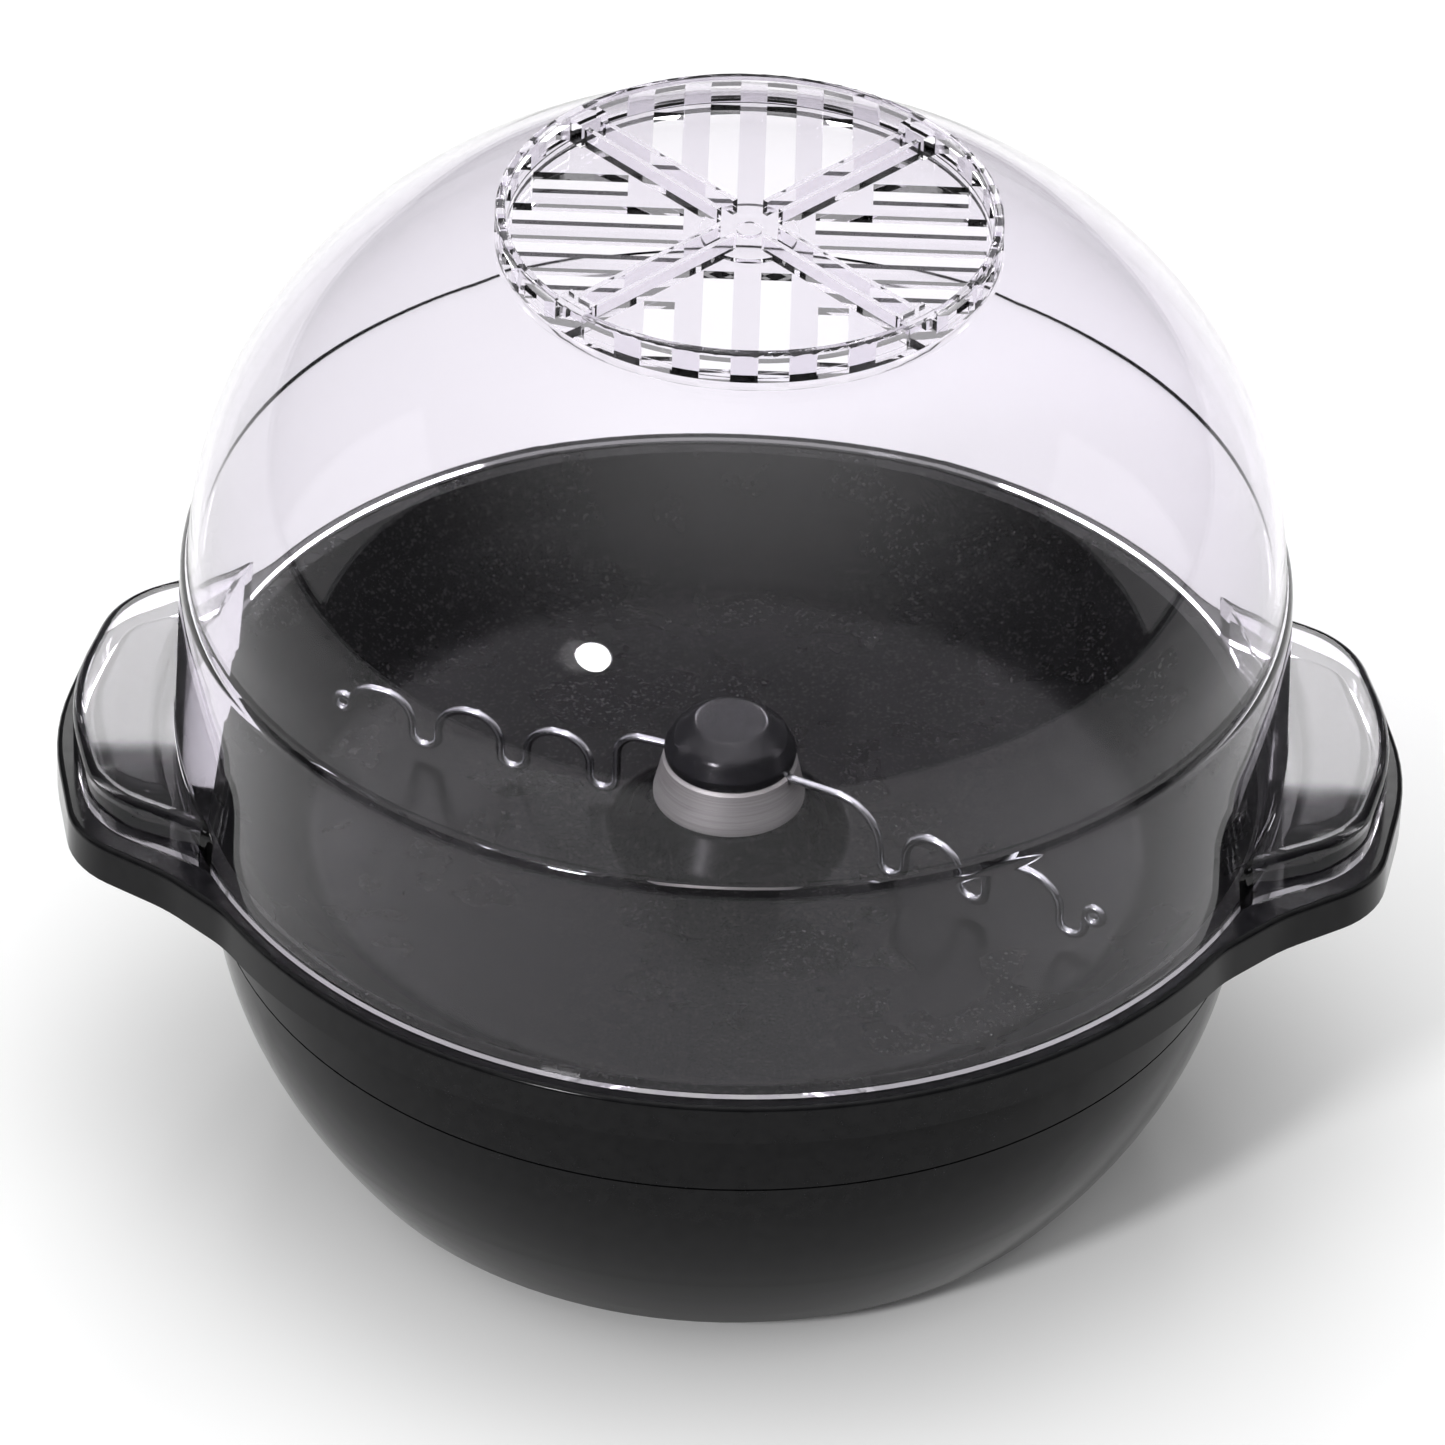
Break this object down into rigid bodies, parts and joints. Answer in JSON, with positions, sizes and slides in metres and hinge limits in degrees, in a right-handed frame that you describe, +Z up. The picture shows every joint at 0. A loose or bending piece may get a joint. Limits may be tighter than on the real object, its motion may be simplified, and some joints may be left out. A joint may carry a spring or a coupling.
{
  "type": "popcorn maker",
  "caption": "Stirring popcorn maker: heated non-stick pan in a round housing with side handles, motor-driven wire stirrer and a clear domed cover.",
  "frame": {"origin": "centre of the feet on the table top, under the drive shaft's axis", "axes": "+Z up along the drive shaft; +X towards the right handle; -Y is the front"},
  "size_m": [0.346, 0.293, 0.2775],
  "materials": {
    "foot_rubber": "matt",
    "grey_plastic": "satin",
    "zinc_steel": "zinc plated",
    "black_gloss": "high gloss",
    "bush_rubber": "matt",
    "white_plastic": "matt",
    "lead_insulation": "satin",
    "nonstick_pan": "non-stick coating, satin",
    "element_sheath": "oxidised",
    "plated_sheet": "plated",
    "thermostat_black": "matt",
    "shield_aluminium": "mill",
    "shaft_steel": "ground",
    "bush_brass": "turned",
    "seal_silicone": "matt",
    "coil_copper": "enamelled copper wire",
    "rotor_iron": "sintered",
    "gear_nylon": "satin",
    "collar_metal": "satin",
    "wire_steel": "bright",
    "knob_black": "semi-gloss",
    "clear_cover": "clear, faint violet-grey tint"
  },
  "bodies": {
    "base": {"rubber_feet": "foot_rubber", "base_plate": "grey_plastic", "base_screws": "zinc_steel", "lower_housing": "black_gloss", "upper_housing": "black_gloss", "seam_screws": "zinc_steel", "cord_bush": "bush_rubber", "terminal_block": "white_plastic", "internal_leads": "lead_insulation", "pan": "nonstick_pan", "heating_element": "element_sheath", "element_clips": "plated_sheet", "thermostat": "thermostat_black", "thermal_fuse": "plated_sheet", "pan_studs": "zinc_steel", "stud_nuts": "zinc_steel", "heat_shield": "shield_aluminium", "drive_bracket": "plated_sheet", "gear_case": "white_plastic", "gear_plate": "plated_sheet", "gear_post": "shaft_steel", "case_screws": "zinc_steel", "case_nuts": "zinc_steel", "shaft_bushes": "bush_brass", "shaft_seal": "seal_silicone", "motor_can": "plated_sheet", "motor_screws": "zinc_steel", "motor_coil": "coil_copper", "rotor_bushes": "bush_brass"},
    "motor_rotor": {"rotor": "rotor_iron", "rotor_shaft": "shaft_steel", "pinion": "gear_nylon"},
    "idler": {"compound_gear": "gear_nylon"},
    "drive": {"output_gear": "gear_nylon", "drive_shaft": "shaft_steel"},
    "stirrer": {"stir_collar": "collar_metal", "stirring_rod": "wire_steel"},
    "knob": {"knob": "knob_black", "knob_insert": "bush_brass"},
    "cover": {"cover": "clear_cover"}
  },
  "joints": [
    {"name": "drive_spin", "type": "hinge", "parent": "base", "child": "drive", "pos_m": [0, 0, 0.08], "axis": [0, 0, 1], "continuous": true},
    {"name": "idler_spin", "type": "hinge", "parent": "base", "child": "idler", "pos_m": [0.024, 0, 0.05], "axis": [0, 0, 1], "continuous": true},
    {"name": "rotor_spin", "type": "hinge", "parent": "base", "child": "motor_rotor", "pos_m": [0, 0, 0.035], "axis": [0, 0, 1], "continuous": true},
    {"name": "stirrer_lift", "type": "slide", "parent": "drive", "child": "stirrer", "axis": [0, 0, 1], "range_m": [0, 0.03]},
    {"name": "knob_lift", "type": "slide", "parent": "stirrer", "child": "knob", "axis": [0, 0, 1], "range_m": [0, 0.02]},
    {"name": "cover_lift", "type": "slide", "parent": "base", "child": "cover", "axis": [0, 0, 1], "range_m": [0, 0.2]}
  ],
  "couplings": [
    {"joint": "idler_spin", "follows": "rotor_spin", "ratio": -0.33333},
    {"joint": "drive_spin", "follows": "rotor_spin", "ratio": 0.11111}
  ]
}
